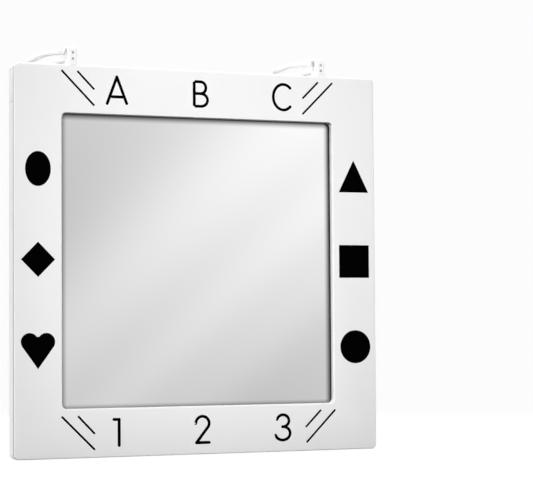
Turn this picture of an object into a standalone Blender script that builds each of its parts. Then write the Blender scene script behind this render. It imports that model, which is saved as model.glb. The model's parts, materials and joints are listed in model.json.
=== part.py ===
"""A double-sided floor mirror for a baby's tummy time: a square white panel with a recessed mirror in
front, a printed board behind and two soft strap loops on its top edge.

The origin is the middle of the bottom edge. The mirror faces -Y and +Z is up. Depths in the panel are
counted from its front face.
"""
import math

import bmesh
import bpy
from mathutils import Euler, Vector

MM = 0.001

# The panel
PANEL_SIDE = 305.0 * MM
PANEL_THICKNESS = 15.0 * MM
PANEL_CORNER_RADIUS = 4.2 * MM
FIT_GAP = 0.3 * MM
CUT_OVERRUN = 5.0 * MM

# The front fascia: a thin face with a flange round the opening, which holds the mirror back
BORDER_WIDTH = 38.0 * MM
FASCIA_THICKNESS = 2.0 * MM
FASCIA_EDGE_ROUND = 1.0 * MM
FLANGE_WIDTH = 8.0 * MM
FLANGE_DEPTH = 5.0 * MM
OPENING_CORNER_RADIUS = 4.0 * MM
OPENING_EDGE_CHAMFER = 0.8 * MM

# The frame of two rails and two stiles behind the fascia
FRAME_EDGE_ROUND = 0.6 * MM
REAR_LIP_WIDTH = 4.0 * MM
REAR_BOARD_THICKNESS = 2.7 * MM
REAR_BOARD_CORNER_RADIUS = 3.0 * MM
DOWEL_RADIUS = 2.5 * MM
DOWEL_LENGTH = 28.0 * MM
DOWEL_CHAMFER = 0.5 * MM
DOWEL_EDGE_DISTANCE = 8.0 * MM
DOWEL_SPACING = 12.0 * MM

# The mirror
MIRROR_THICKNESS = 3.0 * MM
MIRROR_CORNER_RADIUS = 2.0 * MM

# The strap posts on the top edge
STRAP_PLACE_SHARE = 0.155
POST_WIDTH = 7.0 * MM
POST_LENGTH = 5.2 * MM
POST_HEIGHT = 13.8 * MM
POST_INSET = 0.6 * MM
POST_EDGE_ROUND = 1.0 * MM
NECK_WIDTH = 4.4 * MM
NECK_HEIGHT = 5.4 * MM
TENON_WIDTH = 3.4 * MM
TENON_LENGTH = 6.0 * MM
TENON_DEPTH = 12.0 * MM
ANCHOR_PIN_RADIUS = 1.0 * MM
ANCHOR_PIN_DROP = 7.5 * MM
ANCHOR_PIN_LENGTH = 8.5 * MM
RIVET_HEAD_RADIUS = 1.1 * MM
RIVET_HEAD_HEIGHT = 0.5 * MM
RIVET_SHANK_RADIUS = 0.6 * MM
RIVET_SHANK_LENGTH = 3.6 * MM
RIVET_HEIGHT_SHARES = (0.35, 0.70)

# The soft straps: a straight lower run, a turn at the far end and an upper run that comes back
STRAP_RADIUS = 2.2 * MM
STRAP_HEIGHT = 6.3 * MM
RUN_LENGTH = 52.0 * MM
TURN_RADIUS = 3.0 * MM
TURN_STUB = 0.95 * MM
UPPER_RUN_BULGE = 1.6 * MM
STRAP_SIDES = 12
TURN_STEPS = 5
UPPER_RUN_STEPS = 12
LEFT_SPLAY = math.radians(18.0)
LEFT_RISE = math.radians(-3.0)
RIGHT_SPLAY = math.radians(14.0)
RIGHT_RISE = math.radians(-2.0)
STUD_FACING = -1

# The press stud that closes each strap
STUD_DISTANCE = 1.5 * MM
STUD_HEIGHT = 7.4 * MM
LEAF_RADIUS = 3.4 * MM
LEAF_THICKNESS = 1.8 * MM
LEAF_NECK_LENGTH = 6.2 * MM
LEAF_NECK_HEIGHT = 2.0 * MM
LEAF_NECK_THICKNESS = 1.3 * MM
LEAF_FOOT_SHARE = 0.2
STUD_FLANGE_RADIUS = 3.1 * MM
STUD_FLANGE_THICKNESS = 1.0 * MM
STUD_SHANK_RADIUS = 1.1 * MM
STUD_SHANK_REACH = 1.1 * MM
STUD_HOLE_RADIUS = 1.9 * MM
CAP_RADIUS = 3.1 * MM
CAP_THICKNESS = 2.0 * MM
CAP_WALL = 0.7 * MM
DISC_EDGE_ROUND = 0.4 * MM
ROUND_SIDES = 24

# Places worked out from the sizes
FRONT = -PANEL_THICKNESS / 2
REAR = PANEL_THICKNESS / 2
OPENING_SIDE = PANEL_SIDE - 2 * BORDER_WIDTH
POCKET_SIDE = OPENING_SIDE + 2 * (FLANGE_WIDTH + FIT_GAP)
MEMBER_WIDTH = (PANEL_SIDE - POCKET_SIDE) / 2
FRAME_FRONT = FRONT + FASCIA_THICKNESS + FIT_GAP
REBATE_FLOOR = REAR - REAR_BOARD_THICKNESS - FIT_GAP
MIRROR_FRONT = FRONT + FLANGE_DEPTH + FIT_GAP
FOAM_FRONT = MIRROR_FRONT + MIRROR_THICKNESS + FIT_GAP
MEMBER_MIDDLE = (FRAME_FRONT + REBATE_FLOOR) / 2
PANEL_MIDDLE = PANEL_SIDE / 2
STRAP_PLACE = PANEL_SIDE * (0.5 - STRAP_PLACE_SHARE)
POST_FRONT = FRONT + POST_INSET
NECK_REAR = REAR + FIT_GAP
STRAP_ROOT = NECK_REAR + FIT_GAP + STRAP_RADIUS
SPLIT_LOW = TURN_RADIUS + TURN_STUB
SPLIT_HIGH = SPLIT_LOW + FIT_GAP
UPPER_TURN_HEIGHT = SPLIT_HIGH + TURN_STUB
TURN_END = RUN_LENGTH + TURN_RADIUS
LEAF_OFFSET = (LEAF_THICKNESS + FIT_GAP) / 2
LEAF_OUTSIDE = LEAF_THICKNESS + FIT_GAP / 2

PARTS = "tummy_time_floor_mirror"
CUTTERS = "cutters"


def clear_scene():
    for thing in list(bpy.data.objects):
        bpy.data.objects.remove(thing, do_unlink=True)
    for name in (PARTS, CUTTERS):
        collection = bpy.data.collections.get(name) or bpy.data.collections.new(name)
        if name not in bpy.context.scene.collection.children:
            bpy.context.scene.collection.children.link(collection)


def material(name, color, roughness, metallic=0.0):
    made = bpy.data.materials.new(name)
    made.use_nodes = True
    shader = made.node_tree.nodes["Principled BSDF"]
    shader.inputs["Base Color"].default_value = (*color, 1.0)
    shader.inputs["Roughness"].default_value = roughness
    shader.inputs["Metallic"].default_value = metallic
    return made


def new_object(name, mesh, collection=PARTS):
    made = bpy.data.objects.new(name, mesh)
    bpy.data.collections[collection].objects.link(made)
    if collection == CUTTERS:
        made.hide_render = True
        made.display_type = "WIRE"
    return made


def mesh_from(shape, name):
    mesh = bpy.data.meshes.new(name)
    shape.to_mesh(mesh)
    shape.free()
    mesh.shade_smooth()
    mesh.set_sharp_from_angle(angle=math.radians(35.0))
    return mesh


def edges_along(shape, axis):
    """The straight edges of a box that run along one axis."""
    found = []
    for edge in shape.edges:
        direction = (edge.verts[1].co - edge.verts[0].co).normalized()
        if abs(direction[axis]) > 0.999:
            found.append(edge)
    return found


def box_shape(low, high):
    shape = bmesh.new()
    bmesh.ops.create_cube(shape, size=1.0)
    size = Vector(high) - Vector(low)
    middle = (Vector(high) + Vector(low)) / 2
    bmesh.ops.scale(shape, vec=size, verts=shape.verts)
    bmesh.ops.translate(shape, vec=middle, verts=shape.verts)
    return shape


def slab_shape(side, front, rear, corner_radius, edge_round=0.0, round_rear=True):
    """A square plate standing upright round the panel's middle, with rounded corners and edges."""
    half = side / 2
    shape = box_shape((-half, front, PANEL_MIDDLE - half), (half, rear, PANEL_MIDDLE + half))
    bmesh.ops.bevel(shape, geom=edges_along(shape, 1), offset=corner_radius, segments=5, profile=0.5,
                    affect="EDGES")
    if edge_round:
        faces = [face for face in shape.faces if face.normal.y < -0.9 or (round_rear and face.normal.y > 0.9)]
        rim = {edge for face in faces for edge in face.edges}
        bmesh.ops.bevel(shape, geom=list(rim), offset=edge_round, segments=3, profile=0.5, affect="EDGES")
    return shape


def cylinder_shape(radius, start, end, sides=ROUND_SIDES, end_round=0.0):
    """A cylinder between two points, with both rims rounded when asked."""
    start, end = Vector(start), Vector(end)
    shape = bmesh.new()
    bmesh.ops.create_cone(shape, cap_ends=True, segments=sides, radius1=radius, radius2=radius,
                          depth=(end - start).length)
    if end_round:
        rims = {edge for face in shape.faces if len(face.verts) > 4 for edge in face.edges}
        bmesh.ops.bevel(shape, geom=list(rims), offset=end_round, segments=2, profile=0.5, affect="EDGES")
    turn = Vector((0.0, 0.0, 1.0)).rotation_difference(end - start)
    bmesh.ops.rotate(shape, cent=(0.0, 0.0, 0.0), matrix=turn.to_matrix(), verts=shape.verts)
    bmesh.ops.translate(shape, vec=(start + end) / 2, verts=shape.verts)
    return shape


def combine(piece, shape, operation, name):
    """Cut, join or intersect a piece with a shape, through a Boolean on a cutter that keeps its place."""
    cutter = new_object(f"cutter_{name}", mesh_from(shape, f"cutter_{name}"), CUTTERS)
    cutter.parent = piece.parent
    cutter.location = piece.location
    cutter.rotation_euler = piece.rotation_euler
    change = piece.modifiers.new(name, "BOOLEAN")
    change.operation = operation
    change.object = cutter


def finish(piece, look):
    piece.data.materials.clear()
    piece.data.materials.append(look)
    return piece


def opening_cutter():
    """The square opening of the fascia, flared at the front for its chamfered rim."""
    shape = slab_shape(OPENING_SIDE, FRONT - CUT_OVERRUN, FRONT + FLANGE_DEPTH + CUT_OVERRUN,
                       OPENING_CORNER_RADIUS)
    bmesh.ops.bisect_plane(shape, geom=shape.verts[:] + shape.edges[:] + shape.faces[:],
                           plane_co=(0.0, FRONT + OPENING_EDGE_CHAMFER, 0.0), plane_no=(0.0, 1.0, 0.0))
    flare = (OPENING_SIDE + 2 * (OPENING_EDGE_CHAMFER + CUT_OVERRUN)) / OPENING_SIDE
    front = [vert for vert in shape.verts if vert.co.y < FRONT - CUT_OVERRUN / 2]
    for vert in front:
        vert.co.x *= flare
        vert.co.z = PANEL_MIDDLE + (vert.co.z - PANEL_MIDDLE) * flare
    return shape


def make_fascia(look):
    face = slab_shape(PANEL_SIDE, FRONT, FRONT + FASCIA_THICKNESS, PANEL_CORNER_RADIUS, FASCIA_EDGE_ROUND,
                      round_rear=False)
    fascia = new_object("front_fascia", mesh_from(face, "front_fascia"))
    flange = slab_shape(OPENING_SIDE + 2 * FLANGE_WIDTH, FRONT + FASCIA_THICKNESS / 2, FRONT + FLANGE_DEPTH,
                        OPENING_CORNER_RADIUS)
    combine(fascia, flange, "UNION", "flange")
    combine(fascia, opening_cutter(), "DIFFERENCE", "opening")
    return finish(fascia, look)


def dowel_places():
    """The name, width place and joint height of each dowel, two in each corner of the frame."""
    places = []
    for side, sign in (("left", -1), ("right", 1)):
        for level, height in (("bottom", MEMBER_WIDTH), ("top", PANEL_SIDE - MEMBER_WIDTH)):
            for row, inset in (("outer", DOWEL_EDGE_DISTANCE), ("inner", DOWEL_EDGE_DISTANCE + DOWEL_SPACING)):
                across = sign * (PANEL_SIDE / 2 - inset)
                places.append((f"{level}_{side}_dowel_{row}", across, height))
    return places


def dowel_shape(across, height, clearance=0.0):
    reach = DOWEL_LENGTH / 2 + clearance
    edge = 0.0 if clearance else DOWEL_CHAMFER
    return cylinder_shape(DOWEL_RADIUS + clearance, (across, MEMBER_MIDDLE, height - reach),
                          (across, MEMBER_MIDDLE, height + reach), end_round=edge)


def make_member(name, low, high, look):
    """One bar of the frame, cut from the rounded outline of the whole panel."""
    outline = slab_shape(PANEL_SIDE, FRAME_FRONT, REAR, PANEL_CORNER_RADIUS, FRAME_EDGE_ROUND)
    member = new_object(name, mesh_from(outline, name))
    combine(member, box_shape(low, high), "INTERSECT", f"{name}_length")
    rebate_side = PANEL_SIDE - 2 * REAR_LIP_WIDTH
    rebate = slab_shape(rebate_side, REBATE_FLOOR, REAR + CUT_OVERRUN, REAR_BOARD_CORNER_RADIUS + FIT_GAP)
    combine(member, rebate, "DIFFERENCE", f"{name}_rebate")
    for dowel, across, height in dowel_places():
        inside = low[0] < across < high[0] and low[2] - FIT_GAP * 2 < height < high[2] + FIT_GAP * 2
        if inside:
            combine(member, dowel_shape(across, height, FIT_GAP), "DIFFERENCE", f"{name}_{dowel}")
    return finish(member, look)


def make_frame(look):
    half = PANEL_SIDE / 2
    front = FRAME_FRONT - CUT_OVERRUN
    rear = REAR + CUT_OVERRUN
    bars = {
        "bottom_rail": ((-half - CUT_OVERRUN, front, -CUT_OVERRUN), (half + CUT_OVERRUN, rear, MEMBER_WIDTH)),
        "top_rail": ((-half - CUT_OVERRUN, front, PANEL_SIDE - MEMBER_WIDTH),
                     (half + CUT_OVERRUN, rear, PANEL_SIDE + CUT_OVERRUN)),
    }
    foot = MEMBER_WIDTH + FIT_GAP
    head = PANEL_SIDE - MEMBER_WIDTH - FIT_GAP
    bars["left_stile"] = ((-half - CUT_OVERRUN, front, foot), (MEMBER_WIDTH - half, rear, head))
    bars["right_stile"] = ((half - MEMBER_WIDTH, front, foot), (half + CUT_OVERRUN, rear, head))
    return {name: make_member(name, low, high, look) for name, (low, high) in bars.items()}


def make_dowels(look):
    for name, across, height in dowel_places():
        finish(new_object(name, mesh_from(dowel_shape(across, height), name)), look)


def make_mirror_and_pad(mirror_look, foam_look):
    side = POCKET_SIDE - 2 * FIT_GAP
    sheet = slab_shape(side, MIRROR_FRONT, MIRROR_FRONT + MIRROR_THICKNESS, MIRROR_CORNER_RADIUS)
    finish(new_object("mirror_sheet", mesh_from(sheet, "mirror_sheet")), mirror_look)
    pad = slab_shape(side, FOAM_FRONT, REBATE_FLOOR, MIRROR_CORNER_RADIUS)
    finish(new_object("foam_pad", mesh_from(pad, "foam_pad")), foam_look)


def make_rear_board(look):
    side = PANEL_SIDE - 2 * (REAR_LIP_WIDTH + FIT_GAP)
    board = slab_shape(side, REBATE_FLOOR + FIT_GAP, REAR, REAR_BOARD_CORNER_RADIUS)
    finish(new_object("rear_board", mesh_from(board, "rear_board")), look)


def tenon_shape(place, clearance=0.0):
    half_width = TENON_WIDTH / 2 + clearance
    half_length = TENON_LENGTH / 2 + clearance
    top = PANEL_SIDE + (CUT_OVERRUN if clearance else FIT_GAP * 2)
    return box_shape((place - half_width, MEMBER_MIDDLE - half_length, PANEL_SIDE - TENON_DEPTH - clearance),
                     (place + half_width, MEMBER_MIDDLE + half_length, top))


def anchor_pin_shape(place, clearance=0.0):
    height = PANEL_SIDE - ANCHOR_PIN_DROP
    rear = REBATE_FLOOR + (CUT_OVERRUN if clearance else -FIT_GAP)
    front = REBATE_FLOOR - FIT_GAP - ANCHOR_PIN_LENGTH - clearance
    radius = ANCHOR_PIN_RADIUS + clearance
    return cylinder_shape(radius, (place, front, height), (place, rear, height), sides=16)


def rivet_hole(place, height):
    return cylinder_shape(RIVET_SHANK_RADIUS + FIT_GAP, (place, POST_FRONT - CUT_OVERRUN, height),
                          (place, POST_FRONT + RIVET_SHANK_LENGTH + FIT_GAP, height), sides=12)


def neck_shape(place):
    """The low neck behind a post, which carries the root of its strap."""
    half = NECK_WIDTH / 2
    return box_shape((place - half, POST_FRONT + POST_LENGTH / 2, PANEL_SIDE + FIT_GAP),
                     (place + half, NECK_REAR, PANEL_SIDE + NECK_HEIGHT))


def make_post(side, place, top_rail, look, metal_look):
    half = POST_WIDTH / 2
    top = PANEL_SIDE + POST_HEIGHT
    body = box_shape((place - half, POST_FRONT, PANEL_SIDE + FIT_GAP),
                     (place + half, POST_FRONT + POST_LENGTH, top))
    upper = [edge for edge in body.edges if max(vert.co.z for vert in edge.verts) > top - POST_EDGE_ROUND]
    bmesh.ops.bevel(body, geom=upper, offset=POST_EDGE_ROUND, segments=3, profile=0.5, affect="EDGES")
    post = new_object(f"{side}_strap_post", mesh_from(body, f"{side}_strap_post"))
    combine(post, neck_shape(place), "UNION", f"{side}_neck")
    combine(post, tenon_shape(place), "UNION", f"{side}_tenon")
    combine(post, anchor_pin_shape(place, FIT_GAP), "DIFFERENCE", f"{side}_pin_hole")
    combine(top_rail, tenon_shape(place, FIT_GAP), "DIFFERENCE", f"{side}_mortise")
    combine(top_rail, anchor_pin_shape(place, FIT_GAP), "DIFFERENCE", f"{side}_rail_pin_hole")
    pin = new_object(f"{side}_anchor_pin", mesh_from(anchor_pin_shape(place), f"{side}_anchor_pin"))
    finish(pin, metal_look)
    for name, share in zip(("lower", "upper"), RIVET_HEIGHT_SHARES):
        height = PANEL_SIDE + POST_HEIGHT * share
        combine(post, rivet_hole(place, height), "DIFFERENCE", f"{side}_{name}_rivet_hole")
        head_rear = POST_FRONT - FIT_GAP
        head = cylinder_shape(RIVET_HEAD_RADIUS, (place, head_rear - RIVET_HEAD_HEIGHT, height),
                              (place, head_rear, height), sides=16)
        rivet = new_object(f"{side}_post_rivet_{name}", mesh_from(head, f"{side}_post_rivet_{name}"))
        shank = cylinder_shape(RIVET_SHANK_RADIUS, (place, head_rear - RIVET_HEAD_HEIGHT / 2, height),
                               (place, POST_FRONT + RIVET_SHANK_LENGTH, height), sides=12)
        combine(rivet, shank, "UNION", f"{side}_{name}_rivet_shank")
        finish(rivet, metal_look)
    return finish(post, look)


def tube_shape(points):
    """A round tube along points, made as a bevelled curve and read back as a welded mesh."""
    curve = bpy.data.curves.new("run", "CURVE")
    curve.dimensions = "3D"
    curve.bevel_depth = STRAP_RADIUS
    curve.bevel_resolution = STRAP_SIDES // 4 - 1
    curve.use_fill_caps = True
    spline = curve.splines.new("POLY")
    spline.points.add(len(points) - 1)
    for point, place in zip(spline.points, points):
        point.co = (*place, 1.0)
    guide = bpy.data.objects.new("run_guide", curve)
    bpy.context.scene.collection.objects.link(guide)
    evaluated = guide.evaluated_get(bpy.context.evaluated_depsgraph_get())
    mesh = bpy.data.meshes.new_from_object(evaluated)
    shape = bmesh.new()
    shape.from_mesh(mesh)
    bmesh.ops.remove_doubles(shape, verts=shape.verts, dist=FIT_GAP / 10)
    bpy.data.objects.remove(guide, do_unlink=True)
    bpy.data.meshes.remove(mesh)
    bpy.data.curves.remove(curve)
    return shape


def turn_points(first_angle, last_angle, middle_height):
    """Points round the far end of the loop, from the lowest at -90 degrees to the highest at 90."""
    points = []
    for step in range(TURN_STEPS + 1):
        angle = math.radians(first_angle + (last_angle - first_angle) * step / TURN_STEPS)
        points.append((0.0, RUN_LENGTH + TURN_RADIUS * math.cos(angle),
                       middle_height + TURN_RADIUS * math.sin(angle)))
    return points


def lower_run_points():
    return [(0.0, 0.0, 0.0)] + turn_points(-90.0, 0.0, TURN_RADIUS) + [(0.0, TURN_END, SPLIT_LOW)]


def upper_run_points():
    """The upper run in the strap's own frame, from the stud to the top of the turn and down to the split."""
    start = STUD_DISTANCE + LEAF_RADIUS + FIT_GAP
    points = []
    for step in range(UPPER_RUN_STEPS):
        share = step / UPPER_RUN_STEPS
        ease = share * share * (3 - 2 * share)
        height = STUD_HEIGHT + (UPPER_TURN_HEIGHT + TURN_RADIUS - STUD_HEIGHT) * ease
        bulge = UPPER_RUN_BULGE * math.sin(math.pi * share) ** 2
        points.append((0.0, start + (RUN_LENGTH - start) * share, height + bulge))
    return points + turn_points(90.0, 0.0, UPPER_TURN_HEIGHT) + [(0.0, TURN_END, SPLIT_HIGH)]


def leaf_disc(offset):
    """The round end of a strap, flat and as thick as a leaf, centred on the stud."""
    inner = offset - LEAF_THICKNESS / 2
    outer = offset + LEAF_THICKNESS / 2
    return cylinder_shape(LEAF_RADIUS, (inner, STUD_DISTANCE, STUD_HEIGHT), (outer, STUD_DISTANCE, STUD_HEIGHT))


def fixed_leaf_shape():
    """The leaf of the lower run: round above the stud, and straight down into the run below it."""
    shape = leaf_disc(LEAF_OFFSET)
    for vert in shape.verts:
        if vert.co.z < STUD_HEIGHT - FIT_GAP / 10:
            vert.co.z = (vert.co.z - STUD_HEIGHT) * LEAF_FOOT_SHARE
    return shape


def stud_bore(radius):
    reach = LEAF_OUTSIDE + CUT_OVERRUN
    return cylinder_shape(radius, (-reach, STUD_DISTANCE, STUD_HEIGHT), (reach, STUD_DISTANCE, STUD_HEIGHT),
                          sides=16)


def root_ball():
    shape = bmesh.new()
    bmesh.ops.create_uvsphere(shape, u_segments=STRAP_SIDES, v_segments=STRAP_SIDES // 2, radius=STRAP_RADIUS)
    bmesh.ops.rotate(shape, cent=(0.0, 0.0, 0.0), matrix=Euler((math.pi / 2, 0.0, 0.0)).to_matrix(),
                     verts=shape.verts)
    return shape


def moved(shape, offset):
    bmesh.ops.translate(shape, vec=offset, verts=shape.verts)
    return shape


def faced(shape, facing):
    """A piece of the press stud, which opens towards -X of its strap, or towards +X when facing is -1."""
    if facing < 0:
        bmesh.ops.scale(shape, vec=(-1.0, 1.0, 1.0), verts=shape.verts)
        bmesh.ops.reverse_faces(shape, faces=shape.faces)
    return shape


def make_strap(side, place, splay, rise, facing, strap_look, stud_look):
    """One strap. Its frame has the root at the origin and runs along +Y, and the swing axis is its X."""
    swing = bpy.data.objects.new(f"{side}_strap_swing_axis", None)
    bpy.data.collections[PARTS].objects.link(swing)
    swing.location = (place, STRAP_ROOT, PANEL_SIDE + STRAP_HEIGHT)
    swing.rotation_euler = (rise, 0.0, splay)
    tip = (0.0, TURN_END, (SPLIT_LOW + SPLIT_HIGH) / 2)
    latch = bpy.data.objects.new(f"{side}_strap_open_axis", None)
    bpy.data.collections[PARTS].objects.link(latch)
    latch.parent = swing
    latch.location = tip
    to_latch = -Vector(tip)

    lower = new_object(f"{side}_strap_lower_run", mesh_from(tube_shape(lower_run_points()), "lower_run"))
    lower.parent = swing
    combine(lower, root_ball(), "UNION", f"{side}_root_ball")
    combine(lower, faced(fixed_leaf_shape(), facing), "UNION", f"{side}_fixed_leaf")
    combine(lower, stud_bore(STUD_SHANK_RADIUS + FIT_GAP), "DIFFERENCE", f"{side}_fixed_leaf_bore")
    finish(lower, strap_look)

    run = moved(tube_shape(upper_run_points()), to_latch)
    upper = new_object(f"{side}_strap_upper_run", mesh_from(run, "upper_run"))
    upper.parent = latch
    leaf_inside = FIT_GAP / 2
    neck = box_shape((-leaf_inside - LEAF_NECK_THICKNESS, STUD_DISTANCE, STUD_HEIGHT - LEAF_NECK_HEIGHT / 2),
                     (-leaf_inside, STUD_DISTANCE + LEAF_NECK_LENGTH, STUD_HEIGHT + LEAF_NECK_HEIGHT / 2))
    combine(upper, moved(faced(neck, facing), to_latch), "UNION", f"{side}_leaf_neck")
    free_leaf = faced(leaf_disc(-LEAF_OFFSET), facing)
    combine(upper, moved(free_leaf, to_latch), "UNION", f"{side}_free_leaf")
    combine(upper, moved(stud_bore(STUD_HOLE_RADIUS), to_latch), "DIFFERENCE", f"{side}_free_leaf_bore")
    finish(upper, strap_look)

    flange_inside = LEAF_OUTSIDE + FIT_GAP
    flange = cylinder_shape(STUD_FLANGE_RADIUS, (flange_inside, STUD_DISTANCE, STUD_HEIGHT),
                            (flange_inside + STUD_FLANGE_THICKNESS, STUD_DISTANCE, STUD_HEIGHT),
                            end_round=DISC_EDGE_ROUND)
    stud = new_object(f"{side}_stud", mesh_from(faced(flange, facing), "stud"))
    stud.parent = swing
    shank_end = -(LEAF_OUTSIDE + FIT_GAP + STUD_SHANK_REACH)
    shank = cylinder_shape(STUD_SHANK_RADIUS, (shank_end, STUD_DISTANCE, STUD_HEIGHT),
                           (flange_inside + STUD_FLANGE_THICKNESS / 2, STUD_DISTANCE, STUD_HEIGHT), sides=16)
    combine(stud, faced(shank, facing), "UNION", f"{side}_stud_shank")
    finish(stud, stud_look)

    cap_inside = -(LEAF_OUTSIDE + FIT_GAP)
    cap_shape = cylinder_shape(CAP_RADIUS, (cap_inside - CAP_THICKNESS, STUD_DISTANCE, STUD_HEIGHT),
                               (cap_inside, STUD_DISTANCE, STUD_HEIGHT), end_round=DISC_EDGE_ROUND)
    cap = new_object(f"{side}_stud_cap", mesh_from(moved(faced(cap_shape, facing), to_latch), "stud_cap"))
    cap.parent = latch
    socket_floor = cap_inside - CAP_THICKNESS + CAP_WALL
    socket = cylinder_shape(STUD_HOLE_RADIUS, (socket_floor, STUD_DISTANCE, STUD_HEIGHT),
                            (cap_inside + CUT_OVERRUN, STUD_DISTANCE, STUD_HEIGHT), sides=16)
    combine(cap, moved(faced(socket, facing), to_latch), "DIFFERENCE", f"{side}_cap_socket")
    finish(cap, stud_look)


def build():
    clear_scene()
    lacquer = material("white_lacquer", (0.88, 0.88, 0.88), 0.35)
    timber = material("dowel_beech", (0.72, 0.53, 0.34), 0.6)
    silver = material("mirror_silver", (0.86, 0.87, 0.87), 0.04, 1.0)
    foam = material("grey_foam", (0.35, 0.35, 0.36), 0.9)
    board = material("printed_board", (0.90, 0.90, 0.90), 0.4)
    silicone = material("white_silicone", (0.90, 0.90, 0.89), 0.5)
    plastic = material("white_plastic", (0.92, 0.92, 0.91), 0.3)
    steel = material("steel", (0.55, 0.55, 0.55), 0.3, 1.0)

    make_fascia(lacquer)
    frame = make_frame(lacquer)
    make_dowels(timber)
    make_mirror_and_pad(silver, foam)
    make_rear_board(board)
    for side, sign, splay, rise in (("left", -1, LEFT_SPLAY, LEFT_RISE), ("right", 1, RIGHT_SPLAY, RIGHT_RISE)):
        place = sign * STRAP_PLACE
        make_post(side, place, frame["top_rail"], plastic, steel)
        make_strap(side, place, splay, rise, STUD_FACING, silicone, plastic)


build()
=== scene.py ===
"""The looks of a double-sided tummy time floor mirror: satin white lacquer, a recessed acrylic mirror,
black print on both faces and two soft strap loops that reach back from the top edge.

Everything is in metres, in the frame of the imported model: the mirror faces -Y and +Z is up.
"""
import json
import math

import bmesh
import bpy
from mathutils import Euler, Matrix, Vector


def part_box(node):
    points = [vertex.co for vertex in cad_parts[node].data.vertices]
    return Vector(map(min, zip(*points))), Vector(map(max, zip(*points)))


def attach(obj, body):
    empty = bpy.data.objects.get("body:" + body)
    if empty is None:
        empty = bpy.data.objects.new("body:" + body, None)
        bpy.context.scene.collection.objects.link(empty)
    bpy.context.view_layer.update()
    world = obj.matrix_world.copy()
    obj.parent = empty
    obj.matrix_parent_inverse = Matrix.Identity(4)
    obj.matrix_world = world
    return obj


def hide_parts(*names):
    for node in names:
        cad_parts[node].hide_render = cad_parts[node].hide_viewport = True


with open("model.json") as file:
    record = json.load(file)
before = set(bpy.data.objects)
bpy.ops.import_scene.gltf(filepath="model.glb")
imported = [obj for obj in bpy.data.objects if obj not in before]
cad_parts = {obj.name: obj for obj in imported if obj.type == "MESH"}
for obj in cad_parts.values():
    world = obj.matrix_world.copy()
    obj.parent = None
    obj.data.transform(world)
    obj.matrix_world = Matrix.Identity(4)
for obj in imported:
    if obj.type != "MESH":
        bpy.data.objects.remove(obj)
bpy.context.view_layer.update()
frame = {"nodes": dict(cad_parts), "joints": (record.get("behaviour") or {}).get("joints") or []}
scene = bpy.context.scene

MM = 0.001

# The panel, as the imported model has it
FACE_LOW, FACE_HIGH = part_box("front_fascia")
PANEL_LOW, PANEL_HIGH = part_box("bottom_rail")[0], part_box("top_rail")[1]
FRONT = FACE_LOW.y
REAR = PANEL_HIGH.y
SIDE = FACE_HIGH.x - FACE_LOW.x
HALF = SIDE / 2
MIDDLE = (FACE_LOW.z + FACE_HIGH.z) / 2
BORDER = 38.0 * MM
OPENING_HALF = HALF - BORDER
OPENING_LOW, OPENING_HIGH = MIDDLE - OPENING_HALF, MIDDLE + OPENING_HALF

# The camera, fitted to the corners of the face and of the opening
CAMERA_PLACE = (-0.5148, -1.4118, 0.0988)
CAMERA_YAW = math.radians(22.12)
CAMERA_PITCH = math.radians(2.67)
CAMERA_ROLL = math.radians(-0.40)
CAMERA_LENS = 127.10
CAMERA_SENSOR = 36.0


def make_camera():
    """The camera at the photograph's viewing angle."""
    data = bpy.data.cameras.new("camera")
    data.lens = CAMERA_LENS
    data.sensor_width = CAMERA_SENSOR
    data.clip_start = 0.05
    data.clip_end = 100.0
    camera = bpy.data.objects.new("camera", data)
    scene.collection.objects.link(camera)
    turn = (Matrix.Rotation(-CAMERA_YAW, 4, "Z") @ Matrix.Rotation(math.pi / 2 + CAMERA_PITCH, 4, "X")
            @ Matrix.Rotation(CAMERA_ROLL, 4, "Z"))
    camera.matrix_world = Matrix.Translation(CAMERA_PLACE) @ turn
    scene.camera = camera


# Modelling helpers

WELD = 0.005 * MM
CAD_WELD = 0.002 * MM
LATHE_WELD = 0.01 * MM
MOULDED_SKIN = 0.2 * MM


def only(*things):
    """Select these objects alone, with the last one active."""
    if bpy.context.object and bpy.context.object.mode != "OBJECT":
        bpy.ops.object.mode_set(mode="OBJECT")
    bpy.ops.object.select_all(action="DESELECT")
    for thing in things:
        thing.select_set(True)
    bpy.context.view_layer.objects.active = things[-1]
    return things[-1]


def apply_modifiers(piece):
    """Make every modifier part of the mesh."""
    only(piece)
    for modifier in list(piece.modifiers):
        bpy.ops.object.modifier_apply(modifier=modifier.name)
    return piece


def apply_place(piece):
    """Move the place, turn and size of a piece into its mesh."""
    only(piece)
    bpy.ops.object.transform_apply(location=True, rotation=True, scale=True)
    return piece


def smooth(piece, degrees=35.0):
    """Shade a piece smoothly, apart from edges sharper than the angle."""
    only(piece)
    bpy.ops.object.shade_smooth_by_angle(angle=math.radians(degrees))
    return piece


def merge(piece, distance=WELD):
    """Weld doubled points and turn every face outwards."""
    only(piece)
    bpy.ops.object.mode_set(mode="EDIT")
    bpy.ops.mesh.select_all(action="SELECT")
    bpy.ops.mesh.remove_doubles(threshold=distance)
    bpy.ops.mesh.normals_make_consistent(inside=False)
    bpy.ops.object.mode_set(mode="OBJECT")
    return piece


def join(name, pieces):
    """Make several pieces one named piece."""
    only(*pieces)
    if len(pieces) > 1:
        bpy.ops.object.join()
    joined = bpy.context.object
    joined.name = name
    joined.data.name = name
    return joined


def bevel_edges(piece, width):
    """Round every sharp edge."""
    change = piece.modifiers.new("round", "BEVEL")
    change.width = width
    change.segments = 3
    change.limit_method = "ANGLE"
    change.angle_limit = math.radians(30.0)
    change.use_clamp_overlap = True
    return apply_modifiers(piece)


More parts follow.
